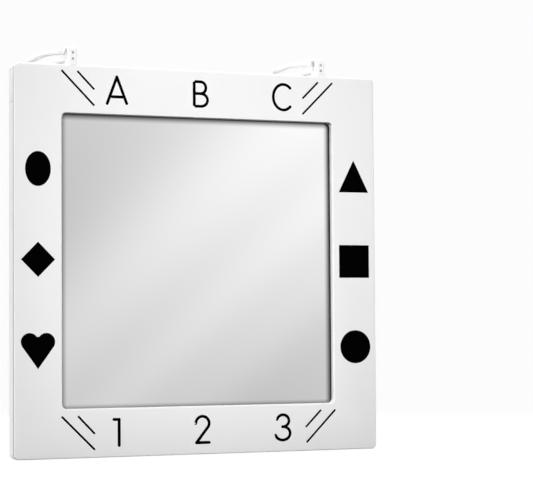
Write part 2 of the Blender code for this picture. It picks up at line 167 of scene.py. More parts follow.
def remesh(piece, rounds):
    """Weld overlapping forms into one moulded skin and soften the joins."""
    weld = piece.modifiers.new("weld", "REMESH")
    weld.mode = "VOXEL"
    weld.voxel_size = MOULDED_SKIN
    ease = piece.modifiers.new("ease", "SMOOTH")
    ease.factor = 0.5
    ease.iterations = rounds
    return apply_modifiers(piece)


def cube(low, high):
    """A block between two opposite corners."""
    low, high = Vector(low), Vector(high)
    bpy.ops.mesh.primitive_cube_add(size=1.0, location=(low + high) / 2)
    made = bpy.context.object
    made.scale = high - low
    return apply_place(made)


def rod(radius, start, end):
    """A round bar between two points."""
    start, end = Vector(start), Vector(end)
    turn = Vector((0.0, 0.0, 1.0)).rotation_difference(end - start)
    bpy.ops.mesh.primitive_cylinder_add(vertices=48, radius=radius, depth=(end - start).length,
                                        location=(start + end) / 2, rotation=turn.to_euler())
    return apply_place(bpy.context.object)


def turned(profile, place, along, steps=48):
    """A shape turned on a lathe. The profile is (radius, height) pairs in millimetres."""
    mesh = bpy.data.meshes.new("profile")
    points = [(radius * MM, 0.0, height * MM) for radius, height in profile]
    mesh.from_pydata(points, [(index, index + 1) for index in range(len(points) - 1)], [])
    made = bpy.data.objects.new("profile", mesh)
    scene.collection.objects.link(made)
    only(made)
    bpy.ops.object.mode_set(mode="EDIT")
    bpy.ops.mesh.select_all(action="SELECT")
    bpy.ops.mesh.spin(steps=steps, angle=2 * math.pi, center=(0.0, 0.0, 0.0), axis=(0.0, 0.0, 1.0))
    bpy.ops.object.mode_set(mode="OBJECT")
    merge(made, LATHE_WELD)
    turn = Vector((0.0, 0.0, 1.0)).rotation_difference(Vector(along))
    made.matrix_world = Matrix.Translation(place) @ turn.to_matrix().to_4x4()
    return apply_place(made)


def tube(points, radius, sides, shares=None, closed=False):
    """A round tube along points. Shares, where given, multiply its radius at each point."""
    curve = bpy.data.curves.new("tube", "CURVE")
    curve.dimensions = "3D"
    curve.bevel_depth = radius
    curve.bevel_resolution = sides // 4 - 1
    curve.use_fill_caps = not closed
    spline = curve.splines.new("POLY")
    spline.use_cyclic_u = closed
    spline.points.add(len(points) - 1)
    for index, point in enumerate(points):
        spline.points[index].co = (*point, 1.0)
        spline.points[index].radius = shares[index] if shares else 1.0
    made = bpy.data.objects.new("tube", curve)
    scene.collection.objects.link(made)
    only(made)
    bpy.ops.object.convert(target="MESH")
    return merge(bpy.context.object)


def own(piece, look, body="panel"):
    """Give a finished piece its material and the body that it rides on."""
    piece.data.materials.clear()
    piece.data.materials.append(look)
    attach(piece, body)
    return piece


def dress(node, look):
    """A welded and smoothly shaded copy of a CAD node takes its place."""
    source = frame["nodes"][node]
    mesh = source.data.copy()
    made = bpy.data.objects.new(f"{node}_finish", mesh)
    scene.collection.objects.link(made)
    mesh.transform(source.matrix_world)
    only(made)
    bpy.ops.object.mode_set(mode="EDIT")
    bpy.ops.mesh.select_all(action="SELECT")
    bpy.ops.mesh.remove_doubles(threshold=CAD_WELD)
    bpy.ops.mesh.dissolve_limited(angle_limit=math.radians(0.5))
    bpy.ops.object.mode_set(mode="OBJECT")
    smooth(made)
    own(made, look)
    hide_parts(node)
    return made


# Materials

def node_group(name, inputs, outputs):
    """An empty group of nodes with inputs, each (name, kind, value), and outputs, each (name, kind)."""
    group = bpy.data.node_groups.new(name, "ShaderNodeTree")
    for label, kind, value in inputs:
        socket = group.interface.new_socket(name=label, in_out="INPUT", socket_type=kind)
        if value is not None:
            socket.default_value = value
    for label, kind in outputs:
        group.interface.new_socket(name=label, in_out="OUTPUT", socket_type=kind)
    entry = group.nodes.new("NodeGroupInput")
    leave = group.nodes.new("NodeGroupOutput")
    return group, entry, leave


def add_node(tree, kind, values=None, **settings):
    """A new node with its inputs' values, by name or number, and its settings."""
    node = tree.nodes.new(kind)
    for key, value in settings.items():
        setattr(node, key, value)
    for key, value in (values or {}).items():
        node.inputs[key].default_value = value
    return node


def maths(tree, operation, *values):
    """A number worked out from others, each given as a socket or as a plain value."""
    node = add_node(tree, "ShaderNodeMath", operation=operation)
    for socket, value in zip(node.inputs, values):
        if isinstance(value, bpy.types.NodeSocket):
            tree.links.new(value, socket)
        else:
            socket.default_value = value
    return node.outputs[0]


def product(tree, *factors):
    """All the factors multiplied."""
    total = factors[0]
    for factor in factors[1:]:
        total = maths(tree, "MULTIPLY", total, factor)
    return total


def soft_step(tree, coordinate, first, last, low=0.0, high=1.0):
    """A factor that goes smoothly from low to high between two values of a coordinate."""
    node = add_node(tree, "ShaderNodeMapRange", {"From Min": first, "From Max": last, "To Min": low,
                                                 "To Max": high}, interpolation_type="SMOOTHSTEP")
    tree.links.new(coordinate, node.inputs["Value"])
    return node.outputs["Result"]


def object_place(tree):
    """The X, Y and Z sockets of the point in Object coordinates."""
    place = tree.nodes.new("ShaderNodeTexCoord")
    apart = tree.nodes.new("ShaderNodeSeparateXYZ")
    tree.links.new(place.outputs["Object"], apart.inputs[0])
    return apart.outputs["X"], apart.outputs["Y"], apart.outputs["Z"]


def make_finish_group():
    """Slow mottling, a fine grain and their height, from Object coordinates."""
    floats = "NodeSocketFloat"
    group, entry, leave = node_group(
        "surface_finish",
        [("Vector", "NodeSocketVector", None), ("Mottle Scale", floats, 30.0),
         ("Mottle Spread", floats, 0.02), ("Grain Scale", floats, 900.0), ("Roughness", floats, 0.4),
         ("Roughness Spread", floats, 0.04)],
        [("Tone", floats), ("Roughness", floats), ("Height", floats)])
    link = group.links.new
    slow = add_node(group, "ShaderNodeTexNoise", {"Detail": 3.0, "Roughness": 0.55})
    grain = add_node(group, "ShaderNodeTexNoise", {"Detail": 2.0, "Roughness": 0.5})
    for noise, scale in ((slow, "Mottle Scale"), (grain, "Grain Scale")):
        link(entry.outputs["Vector"], noise.inputs["Vector"])
        link(entry.outputs[scale], noise.inputs["Scale"])
    centred = maths(group, "SUBTRACT", slow.outputs["Fac"], 0.5)
    spread = product(group, centred, entry.outputs["Mottle Spread"])
    rough = product(group, centred, entry.outputs["Roughness Spread"])
    link(maths(group, "ADD", spread, 1.0), leave.inputs["Tone"])
    link(maths(group, "ADD", rough, entry.outputs["Roughness"]), leave.inputs["Roughness"])
    link(grain.outputs["Fac"], leave.inputs["Height"])
    return group


FINISH = make_finish_group()
ROUGHNESS_SPREAD = 0.06
BACK_OF_FASCIA = FRONT + 2.0 * MM
# Painted shade in the lacquer: a dark band in the seam behind the fascia and painted shadow under the
# opening's top edge, each as the share of colour that it takes away
SEAM_INNER, SEAM_OUTER = 0.55 * MM, 0.85 * MM
SEAM_PAINTED_SHADE, SOFFIT_PAINTED_SHADOW = 0.95, 0.82

# Painted shadow on each side of the mirror's rim, as the share of light that is left at the edge
RIM_SHADOW_RIGHT, RIM_SHADOW_LEFT, RIM_SHADOW_TOP, RIM_SHADOW_BOTTOM = 0.01, 0.30, 0.08, 0.35


def finished_material(name, color, roughness, mottle=(25.0, 0.03), grain=(900.0, 0.05, 0.02 * MM),
                      sockets=None):
    """A smooth material. The mottle is (scale, spread) and the grain (scale, strength, distance)."""
    made = bpy.data.materials.new(name)
    made.use_nodes = True
    tree = made.node_tree
    link = tree.links.new
    shader = tree.nodes["Principled BSDF"]
    place = tree.nodes.new("ShaderNodeTexCoord")
    finish = add_node(tree, "ShaderNodeGroup", node_tree=FINISH)
    values = {"Mottle Scale": mottle[0], "Mottle Spread": mottle[1], "Grain Scale": grain[0],
              "Roughness": roughness, "Roughness Spread": ROUGHNESS_SPREAD}
    for label, value in values.items():
        finish.inputs[label].default_value = value
    link(place.outputs["Object"], finish.inputs["Vector"])
    shade = add_node(tree, "ShaderNodeVectorMath", {0: color}, operation="SCALE")
    link(finish.outputs["Tone"], shade.inputs["Scale"])
    link(shade.outputs["Vector"], shader.inputs["Base Color"])
    link(finish.outputs["Roughness"], shader.inputs["Roughness"])
    bump = add_node(tree, "ShaderNodeBump", {"Strength": grain[1], "Distance": grain[2]})
    link(finish.outputs["Height"], bump.inputs["Height"])
    link(bump.outputs["Normal"], shader.inputs["Normal"])
    for label, value in (sockets or {}).items():
        shader.inputs[label].default_value = value
    return made


def paint_shade_in_seam_and_soffit(look):
    """Paint shade into the colour: a dark band in the seam behind the fascia and shadow on the underside
    of the opening's top edge.
    """
    tree = look.node_tree
    link = tree.links.new
    shader = tree.nodes["Principled BSDF"]
    across, depth, height = object_place(tree)
    wide = maths(tree, "ABSOLUTE", across)
    tall = maths(tree, "ABSOLUTE", maths(tree, "SUBTRACT", height, MIDDLE))
    reach = maths(tree, "MAXIMUM", wide, tall)

    outside = soft_step(tree, reach, HALF - 2.0 * MM, HALF - 1.6 * MM)
    behind = soft_step(tree, depth, BACK_OF_FASCIA - SEAM_OUTER, BACK_OF_FASCIA - SEAM_INNER)
    before = soft_step(tree, depth, BACK_OF_FASCIA + SEAM_INNER, BACK_OF_FASCIA + SEAM_OUTER, 1.0, 0.0)
    seam = product(tree, outside, behind, before)

    inside = soft_step(tree, reach, OPENING_HALF + 1.0 * MM, OPENING_HALF + 0.8 * MM)
    deep = soft_step(tree, depth, FRONT + 0.02 * MM, FRONT + 0.4 * MM)
    top = soft_step(tree, height, OPENING_HIGH - 2.5 * MM, OPENING_HIGH - 0.5 * MM)
    soffit = product(tree, inside, deep, top)

    # The share of colour and of specular sheen that the painted shade leaves
    keep = product(tree, *[maths(tree, "MULTIPLY_ADD", factor, -share, 1.0)
                           for factor, share in ((seam, SEAM_PAINTED_SHADE), (soffit, SOFFIT_PAINTED_SHADOW))])
    shade = add_node(tree, "ShaderNodeVectorMath", operation="SCALE")
    link(shader.inputs["Base Color"].links[0].from_socket, shade.inputs[0])
    link(keep, shade.inputs["Scale"])
    link(shade.outputs["Vector"], shader.inputs["Base Color"])
    link(maths(tree, "MULTIPLY", keep, 0.5), shader.inputs["Specular IOR Level"])
    return look


def make_mirror_material():
    """A metal mirror with painted shadow that darkens its rim under the edge of the recess."""
    made = bpy.data.materials.new("acrylic_mirror")
    made.use_nodes = True
    tree = made.node_tree
    link = tree.links.new
    shader = tree.nodes["Principled BSDF"]
    shader.inputs["Metallic"].default_value = 1.0
    across, _, height = object_place(tree)
    # Painted shadow along the four sides of the rim, darkest at the right and the top
    rim = product(tree,
                  soft_step(tree, across, OPENING_HALF + 0.1 * MM, OPENING_HALF - 6.2 * MM, RIM_SHADOW_RIGHT),
                  soft_step(tree, across, -OPENING_HALF, -OPENING_HALF + 6.0 * MM, RIM_SHADOW_LEFT),
                  soft_step(tree, height, OPENING_HIGH + 0.6 * MM, OPENING_HIGH - 5.8 * MM, RIM_SHADOW_TOP),
                  soft_step(tree, height, OPENING_LOW - 1.0 * MM, OPENING_LOW + 4.0 * MM, RIM_SHADOW_BOTTOM))
    shade = add_node(tree, "ShaderNodeVectorMath", {0: (0.93, 0.93, 0.93)}, operation="SCALE")
    link(rim, shade.inputs["Scale"])
    link(shade.outputs["Vector"], shader.inputs["Base Color"])
    place = tree.nodes.new("ShaderNodeTexCoord")
    smudge = add_node(tree, "ShaderNodeTexNoise", {"Scale": 18.0, "Detail": 4.0, "Roughness": 0.6})
    link(place.outputs["Object"], smudge.inputs["Vector"])
    haze = add_node(tree, "ShaderNodeMapRange", {"From Min": 0.35, "From Max": 0.75, "To Min": 0.015,
                                                 "To Max": 0.05})
    link(smudge.outputs["Fac"], haze.inputs["Value"])
    link(haze.outputs["Result"], shader.inputs["Roughness"])
    return made


def make_looks():
    """Every material of the mirror, by a short name."""
    lacquer = finished_material("satin_white_lacquer", (0.885, 0.885, 0.888), 0.38,
                                grain=(700.0, 0.08, 0.03 * MM))
    return {
        "lacquer": paint_shade_in_seam_and_soffit(lacquer),
        "board": finished_material("printed_board_white", (0.895, 0.895, 0.893), 0.42,
                                   grain=(600.0, 0.08, 0.03 * MM)),
        "ink": finished_material("black_ink", (0.0006, 0.0006, 0.0006), 0.6, mottle=(120.0, 0.2),
                                 grain=(1500.0, 0.2, 0.02 * MM),
                                 sockets={"Specular IOR Level": 0.004}),
        "mirror": make_mirror_material(),
        "beech": finished_material("raw_beech", (0.72, 0.53, 0.34), 0.62, mottle=(90.0, 0.25)),
        "foam": finished_material("grey_foam", (0.35, 0.35, 0.36), 0.95, mottle=(200.0, 0.3),
                                  grain=(1600.0, 0.8, 0.3 * MM)),
        "silicone": finished_material("soft_white_silicone", (0.94, 0.94, 0.935), 0.5,
                                      grain=(2200.0, 0.2, 0.03 * MM),
                                      sockets={"Subsurface Weight": 0.85,
                                               "Subsurface Scale": 4.0 * MM,
                                               "Subsurface Radius": (1.0, 0.95, 0.9)}),
        "plastic": finished_material("moulded_white_plastic", (0.95, 0.95, 0.945), 0.3,
                                     grain=(1800.0, 0.1, 0.02 * MM)),
        "steel": finished_material("plain_steel", (0.45, 0.45, 0.46), 0.34, mottle=(400.0, 0.15),
                                   sockets={"Metallic": 1.0}),
    }


# The print on the two faces

INK_HEIGHT = 0.08 * MM
LETTER_LINE, SLASH_LINE = 2.5, 1.7
STROKE_SIDES = 16
STROKE_SHADING, PATCH_SHADING = 60.0, 35.0
LEAST_SHARE = 0.02


def round_end(tip, inward, radius, steps=6):
    """Points from the tip of a stroke inwards, with the width's shares that round it."""
    line, shares = [], []
    for step in range(steps):
        angle = math.pi / 2 * step / steps
        line.append(tip + inward * radius * (1 - math.cos(angle)))
        shares.append(max(math.sin(angle), LEAST_SHARE))
    return line, shares


def rounded_stroke(points, width):
    """Points along one pen stroke, with the width's shares that round its two ends."""
    radius = width / 2
    start, end = Vector(points[0]), Vector(points[-1])
    onward = (Vector(points[1]) - start).normalized()
    back = (Vector(points[-2]) - end).normalized()
    line, shares = round_end(start, onward, radius)
    inner = [start + onward * radius, *[Vector(point) for point in points[1:-1]], end + back * radius]
    last_line, last_shares = round_end(end, back, radius)
    return line + inner + last_line[::-1], shares + [1.0] * len(inner) + last_shares[::-1]


def straight_parts(points, width):
    """The stroke cut at its sharp corners, each part carried past the corner by half the width."""
    parts, current = [], [Vector(points[0])]
    for index in range(1, len(points)):
        here = Vector(points[index])
        current.append(here)
        if index == len(points) - 1:
            break
        before, after = here - Vector(points[index - 1]), Vector(points[index + 1]) - here
        if before.angle(after) > math.radians(40.0):
            current[-1] = here + before.normalized() * width / 2
            parts.append(current)
            current = [here - after.normalized() * width / 2]
    return parts + [current]


def lay_on(made, width, face):
    """Press a round stroke, its width in millimetres, to the height of ink and lay it on a face."""
    made.scale = (1.0, 2 * INK_HEIGHT / (width * MM), 1.0)
    made.location = (0.0, face, 0.0)
    return apply_place(made)


def pen(points, width, face):
    """One stroke of ink on a face. The points are (across, height) pairs in millimetres."""
    flat = [Vector((across * MM, 0.0, height * MM)) for across, height in points]
    pieces = []
    for part in straight_parts(flat, width * MM):
        line, shares = rounded_stroke(part, width * MM)
        pieces.append(tube(line, width * MM / 2, STROKE_SIDES, shares))
    return lay_on(join("stroke", pieces), width, face)


def arc(centre, radius, first, last, steps):
    """Points round an ellipse, with angles in degrees from +across, anticlockwise."""
    wide, tall = radius if isinstance(radius, tuple) else (radius, radius)
    points = []
    for step in range(steps + 1):
        angle = math.radians(first + (last - first) * step / steps)
        points.append((centre[0] + wide * math.cos(angle), centre[1] + tall * math.sin(angle)))
    return points


def circle(centre, radius, count=48):
    """Points round a whole circle or ellipse, the last one short of the first."""
    return arc(centre, radius, 0.0, 360.0 - 360.0 / count, count - 1)


def patch(outline, face):
    """A filled area of ink with a fine edge. The outline is (across, height) pairs in millimetres."""
    bpy.ops.mesh.primitive_circle_add(vertices=len(outline), radius=1.0, fill_type="NGON")
    made = bpy.context.object
    for vert, (across, height) in zip(made.data.vertices, outline):
        vert.co = (across * MM, face - INK_HEIGHT, height * MM)
    only(made)
    bpy.ops.object.mode_set(mode="EDIT")
    bpy.ops.mesh.select_all(action="SELECT")
    bpy.ops.mesh.extrude_region_move(TRANSFORM_OT_translate={"value": (0.0, 2 * INK_HEIGHT, 0.0)})
    bpy.ops.mesh.select_all(action="SELECT")
    bpy.ops.mesh.normals_make_consistent(inside=False)
    bpy.ops.object.mode_set(mode="OBJECT")
    return made


def polygon(centre, corners):
    """Corners given from a centre, moved there."""
    return [(centre[0] + across, centre[1] + height) for across, height in corners]


def heart(centre, width, height):
    """A heart from two round lobes and two sides that run straight to the point."""
    lobe = width / 4 * 1.02
    reach = width / 2 - lobe
    top = height / 2 - lobe
    right = arc((reach, top), lobe, 145.0, -42.0, 16)
    right.append((0.0, -height / 2))
    left = [(-across, up) for across, up in reversed(right[:-1])]
    return [(centre[0] + across, centre[1] + up) for across, up in right + left]


def print_piece(name, pieces, degrees, look):
    """Join strokes or patches into one printed piece."""
    own(smooth(join(name, pieces), degrees), look)


def front_print(looks):
    """Three letters, three numbers, eight slashes and six plain shapes on the border."""
    upper_bowl = arc((0.2, 291.35), (4.4, 4.75), 90.0, -90.0, 16)[1:]
    lower_bowl = arc((0.2, 281.5), (5.8, 5.1), 90.0, -90.0, 18)[1:]
    letters = [
        [(-78.2, 274.6), (-69.75, 296.9), (-61.3, 275.1)],
        [(-75.0, 281.2), (-64.2, 281.2)],
        [(-5.3, 296.2), (-5.3, 276.3)],
        [(-5.3, 296.1), (0.2, 296.1), *upper_bowl, (-5.3, 286.6)],
        [(-5.3, 286.6), (0.2, 286.6), *lower_bowl, (-5.3, 276.4)],
        arc((71.6, 286.6), (8.8, 10.4), 40.0, 320.0, 36),
    ]
    numbers = [
        [(-74.2, 29.2), (-68.8, 29.2), (-68.8, 7.8)],
        arc((0.2, 24.4), (5.6, 5.5), 192.0, -30.0, 26) + [(-4.9, 9.2), (7.0, 9.2)],
        arc((69.2, 24.7), (5.2, 4.8), 180.0, -90.0, 26) + [(67.6, 19.9)],
        [(67.6, 20.0)] + arc((69.0, 14.6), (6.4, 5.4), 90.0, -178.0, 30),
    ]
    slashes = [
        [(-114.8, 300.5), (-88.1, 273.5)], [(-102.0, 300.3), (-88.1, 286.2)],
        [(88.4, 286.1), (102.5, 300.2)], [(88.3, 273.2), (115.4, 300.2)],
        [(-115.1, 32.5), (-88.3, 6.0)], [(-102.1, 32.6), (-88.3, 18.3)],
        [(89.1, 19.0), (102.9, 32.9)], [(89.7, 6.6), (115.6, 32.8)],
    ]
    for name, strokes, width in (
            ("letters", letters, LETTER_LINE), ("numbers", numbers, LETTER_LINE),
            ("slashes", slashes, SLASH_LINE)):
        made = [pen(points, width, FRONT) for points in strokes]
        print_piece(f"front_print_{name}", made, STROKE_SHADING, looks["ink"])
    half = 13.4
    outlines = [
        circle((-133.5, 223.3), (10.2, 13.55)),
        polygon((-133.5, 153.3), [(0.0, 13.6), (13.5, 0.0), (0.0, -13.6), (-13.5, 0.0)]),
        heart((-133.6, 83.0), 27.1, 27.6),
        polygon((133.55, 223.4), [(0.0, 13.3), (13.3, -13.1), (-13.3, -13.1)]),
        polygon((133.5, 153.5), [(-half, half), (half, half), (half, -half), (-half, -half)]),
        circle((134.0, 83.6), 13.5),
    ]
    shapes = [patch(outline, FRONT) for outline in outlines]
    print_piece("front_print_shapes", shapes, PATCH_SHADING, looks["ink"])


def ring(points, width, face):
    """A closed line of ink on a face. The points are (across, height) pairs in millimetres."""
    line = [(across * MM, 0.0, height * MM) for across, height in points]
    return lay_on(tube(line, width * MM / 2, STROKE_SIDES, closed=True), width, face)


def rounded_square(centre, half, corner):
    """Points round a square with round corners, anticlockwise."""
    inset = half - corner
    points = []
    for start, across, up in ((0.0, 1, 1), (90.0, -1, 1), (180.0, -1, -1), (270.0, 1, -1)):
        middle = (centre[0] + across * inset, centre[1] + up * inset)
        points += arc(middle, corner, start, start + 90.0, 6)
    return points


# The layout of the back, in millimetres

FRAME_EDGE, FRAME_CORNER = 6.35, 3.0
FRAME_LINE, DIVIDER_LINE, PATTERN_LINE, WAVE_LINE = 4.0, 3.6, 4.0, 5.0
SHELF = 184.0
DISC_RADIUS, RING_RADII = 8.0, (16.5, 27.0, 37.5)
CHECK_SIDE, CHECK_GAP, CHECK_CORNER, CHECK_ROWS = 15.0, 0.1, 0.5, 5
SPIRAL_TURNS, SPIRAL_START, SPIRAL_REACH, SPIRAL_STEPS = 3.4, 3.0, 35.5, 120
WAVE_ROWS, WAVE_SPACING, WAVE_LENGTH, WAVE_HEIGHT = 7, 22.0, 112.0, 6.5
WAVE_CRESTS, WAVE_STEPS = 2.5, 48
DOT_ROWS, DOT_COLUMNS, DOT_ACROSS, DOT_UP = 6, 5, 24.0, 25.5
LARGE_DOT, SMALL_DOT = 8.0, 4.5


def spiral_points(centre):
    """Points along a spiral, from its middle outwards."""
    points = []
    for step in range(SPIRAL_STEPS + 1):
        share = step / SPIRAL_STEPS
        angle = 2 * math.pi * SPIRAL_TURNS * share
        radius = SPIRAL_START + SPIRAL_REACH * share
        points.append((centre[0] + radius * math.cos(angle), centre[1] + radius * math.sin(angle)))
    return points


def wave_points(middle, height):
    """Points along one wavy line."""
    points = []
    for step in range(WAVE_STEPS + 1):
        share = step / WAVE_STEPS
        points.append((middle + (share - 0.5) * WAVE_LENGTH,
                       height + WAVE_HEIGHT * math.sin(2 * math.pi * WAVE_CRESTS * share)))
    return points


def back_print(looks):
    """A frame line, four dividers and five plain high-contrast patterns on the back."""
    side = SIDE / MM
    low, high = FRAME_EDGE, side - FRAME_EDGE
    right = side / 2 - FRAME_EDGE
    third = right / 3
    pane, cell = right / 2, 2 * third
    lower, middle = (low + SHELF) / 2, (SHELF + high) / 2

    lines = [ring(rounded_square((0.0, side / 2), right, FRAME_CORNER), FRAME_LINE, REAR)]
    for points in ([(-right, SHELF), (right, SHELF)], [(-third, SHELF), (-third, high)],
                   [(third, SHELF), (third, high)], [(0.0, low), (0.0, SHELF)]):
        lines.append(pen(points, DIVIDER_LINE, REAR))

    rings = [patch(circle((-cell, middle), DISC_RADIUS), REAR)]
    rings += [ring(circle((-cell, middle), radius), PATTERN_LINE, REAR) for radius in RING_RADII]

    checks = []
    for row in range(CHECK_ROWS):
        for column in range(CHECK_ROWS):
            if (row + column) % 2 == 0:
                corner = ((column - 2) * CHECK_SIDE, middle + (row - 2) * CHECK_SIDE)
                half = CHECK_SIDE / 2 - CHECK_GAP
                checks.append(patch(rounded_square(corner, half, CHECK_CORNER), REAR))

    spiral = [pen(spiral_points((cell, middle)), PATTERN_LINE, REAR)]
    waves = [pen(wave_points(-pane, lower + (row - 3) * WAVE_SPACING), WAVE_LINE, REAR)
             for row in range(WAVE_ROWS)]

    dots = []
    for row in range(DOT_ROWS):
        for column in range(DOT_COLUMNS):
            radius = LARGE_DOT if (row + column) % 2 else SMALL_DOT
            centre = (pane + (column - 2) * DOT_ACROSS, lower + (row - 2.5) * DOT_UP)
            dots.append(patch(circle(centre, radius, 32), REAR))

    for name, pieces, degrees in (
            ("frame", lines, STROKE_SHADING), ("rings", rings, STROKE_SHADING),
            ("checks", checks, PATCH_SHADING), ("spiral", spiral, STROKE_SHADING),
            ("waves", waves, STROKE_SHADING), ("dots", dots, PATCH_SHADING)):
        print_piece(f"back_print_{name}", pieces, degrees, looks["ink"])


# The straps. Each has its own frame: the root at the origin, +Y along the strap, +Z up, X across

STRAPS = (
    {"side": "left", "splay": 18.0, "rise": -3.0},
    {"side": "right", "splay": 14.0, "rise": -2.0},
)
STUD_FACING = -1
MOULDED_SHADING, TURNED_SHADING = 40.0, 50.0
STRAP_RADIUS = 2.2 * MM
RUN_LENGTH = 52.0 * MM
RUN_POINTS, RUN_SPACING = 10, 4.5 * MM
TURN_RADIUS = 3.0 * MM
SPLIT = 4.1 * MM
SPLIT_GAP = 0.04 * MM
PAST_SPLIT = 1.4 * MM
CUT_PRECISION = 0.001 * MM
UPPER_TURN = 5.2 * MM
UPPER_BULGE = 1.6 * MM
UPPER_POINTS = 30
UPPER_START, UPPER_GROWTH = 0.86, 0.14
BRIDGE_HALF, BRIDGE_RISE, BRIDGE_REACH = 0.65 * MM, 1.1 * MM, 6.2 * MM
STUD = Vector((0.0, 1.5 * MM, 7.4 * MM))
LEAF_RADIUS = 3.4 * MM
LEAF_THICKNESS = 1.8 * MM
LEAF_OFFSET = 1.05 * MM
LEAF_ROUND = 0.5 * MM
SEAT_GAP = 0.45 * MM
STUD_BORE, CAP_BORE = 1.4 * MM, 1.9 * MM
BORE_REACH = 5.0 * MM
STRAP_ROUND = 0.4 * MM
POST_LENGTH, POST_ROUND = 5.2 * MM, 1.0 * MM
NECK_HALF, NECK_HEIGHT, NECK_ROUND = 2.2 * MM, 5.4 * MM, 0.8 * MM
SHARP_FOOT = 1.0 * MM

# Turned profiles, as (radius, height) in millimetres
STUD_PROFILE = (
    (0.0, 0.35), (0.6, 0.38), (0.75, 0.7), (0.95, 0.92), (1.3, 1.0), (2.4, 1.0), (2.8, 0.85),
    (3.05, 0.5), (3.1, 0.25), (3.0, 0.0), (1.1, 0.0), (1.1, -4.7), (1.25, -4.95), (1.3, -5.2),
    (1.15, -5.45), (0.8, -5.55), (0.0, -5.6))
CAP_PROFILE = (
    (0.0, 1.6), (0.55, 1.62), (0.7, 1.85), (0.95, 2.0), (1.6, 2.0), (2.3, 1.85), (2.8, 1.5),
    (3.05, 0.9), (3.1, 0.3), (3.0, 0.0), (2.05, 0.0), (1.9, 0.15), (1.9, 1.3), (0.0, 1.3))
RIVET_PROFILE = (
    (0.0, 0.34), (0.3, 0.36), (0.45, 0.48), (0.75, 0.45), (1.0, 0.25), (1.1, 0.0), (0.6, -0.1),
    (0.6, -1.5), (0.0, -1.5))


def swing_frame(strap):
    """The matrix that takes a strap's own frame to its place behind its post."""
    joint = next(item for item in frame["joints"] if item["name"] == f"{strap['side']}_strap_swing")
    turn = Euler((math.radians(strap["rise"]), 0.0, math.radians(strap["splay"])))
    return Matrix.Translation(joint["pos_m"]) @ turn.to_matrix().to_4x4()


def turn_arc(first, last, height, steps=12):
    """Points round the far end of a strap, with angles in degrees from the strap's direction."""
    points = []
    for step in range(steps + 1):
        angle = math.radians(first + (last - first) * step / steps)
        points.append((0.0, RUN_LENGTH + TURN_RADIUS * math.cos(angle),
                       height + TURN_RADIUS * math.sin(angle)))
    return points


def leaf(offset):
    """The round flat end of a run that the press stud goes through."""
    disc = rod(LEAF_RADIUS, STUD + Vector((offset - LEAF_THICKNESS / 2, 0.0, 0.0)),
               STUD + Vector((offset + LEAF_THICKNESS / 2, 0.0, 0.0)))
    return bevel_edges(disc, LEAF_ROUND)


def trim_tip(piece, keep_below):
    """Cut the far end of a run square at the level where the two runs meet."""
    only(piece)
    bpy.ops.object.mode_set(mode="EDIT")
    bpy.ops.mesh.select_all(action="DESELECT")
    shape = bmesh.from_edit_mesh(piece.data)
    for face in shape.faces:
        face.select_set(all(vert.co.y > RUN_LENGTH - 1.0 * MM for vert in face.verts))
    bmesh.update_edit_mesh(piece.data)
    level = SPLIT - SPLIT_GAP / 2 if keep_below else SPLIT + SPLIT_GAP / 2
    bpy.ops.mesh.bisect(plane_co=(0.0, RUN_LENGTH, level), plane_no=(0.0, 0.0, 1.0), use_fill=True,
                        clear_outer=keep_below, clear_inner=not keep_below,
                        threshold=CUT_PRECISION)
    bpy.ops.object.mode_set(mode="OBJECT")
    return piece


def bore(piece, radius):
    """Drill the hole that the press stud goes through."""
    reach = Vector((BORE_REACH, 0.0, 0.0))
    drill = rod(radius, STUD - reach, STUD + reach)
    change = piece.modifiers.new("bore", "BOOLEAN")
    change.operation = "DIFFERENCE"
    change.object = drill
    apply_modifiers(piece)
    bpy.data.objects.remove(drill, do_unlink=True)
    return piece


def finish_run(name, forms, keep_below, hole, place, look, body):
    """Mould a run from its forms, cut its far end, bore it and put it in its node's place."""
    piece = join(name, forms)
    remesh(piece, rounds=6)
    trim_tip(piece, keep_below)
    bore(piece, hole)
    smooth(piece, MOULDED_SHADING)
    piece.data.transform(place)
    own(piece, look, body)
    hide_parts(f"{name}_run")


def make_lower_run(side, place, look):
    """The run from the root to the far end, with the fixed leaf on a stem."""
    points, shares = [], []
    for step in range(9):
        angle = math.pi / 2 * step / 8
        points.append((0.0, -STRAP_RADIUS * math.cos(angle), 0.0))
        shares.append(max(math.sin(angle), LEAST_SHARE))
    points += [(0.0, (step + 1) * RUN_SPACING, 0.0) for step in range(RUN_POINTS)]
    shares += [1.0] * RUN_POINTS
    tip = turn_arc(-90.0, 0.0, TURN_RADIUS) + [(0.0, RUN_LENGTH + TURN_RADIUS, SPLIT + PAST_SPLIT)]
    run = tube(points + tip, STRAP_RADIUS, 32, shares + [1.0] * len(tip))
    across = LEAF_THICKNESS / 2
    middle = LEAF_OFFSET * STUD_FACING
    stem = cube((middle - across, STUD.y - LEAF_RADIUS + 0.1 * MM, 0.0),
                (middle + across, STUD.y + LEAF_RADIUS - 0.1 * MM, STUD.z))
    finish_run(f"{side}_strap_lower", [run, bevel_edges(stem, STRAP_ROUND), leaf(middle)],
               True, STUD_BORE, place, look, f"{side}_strap")


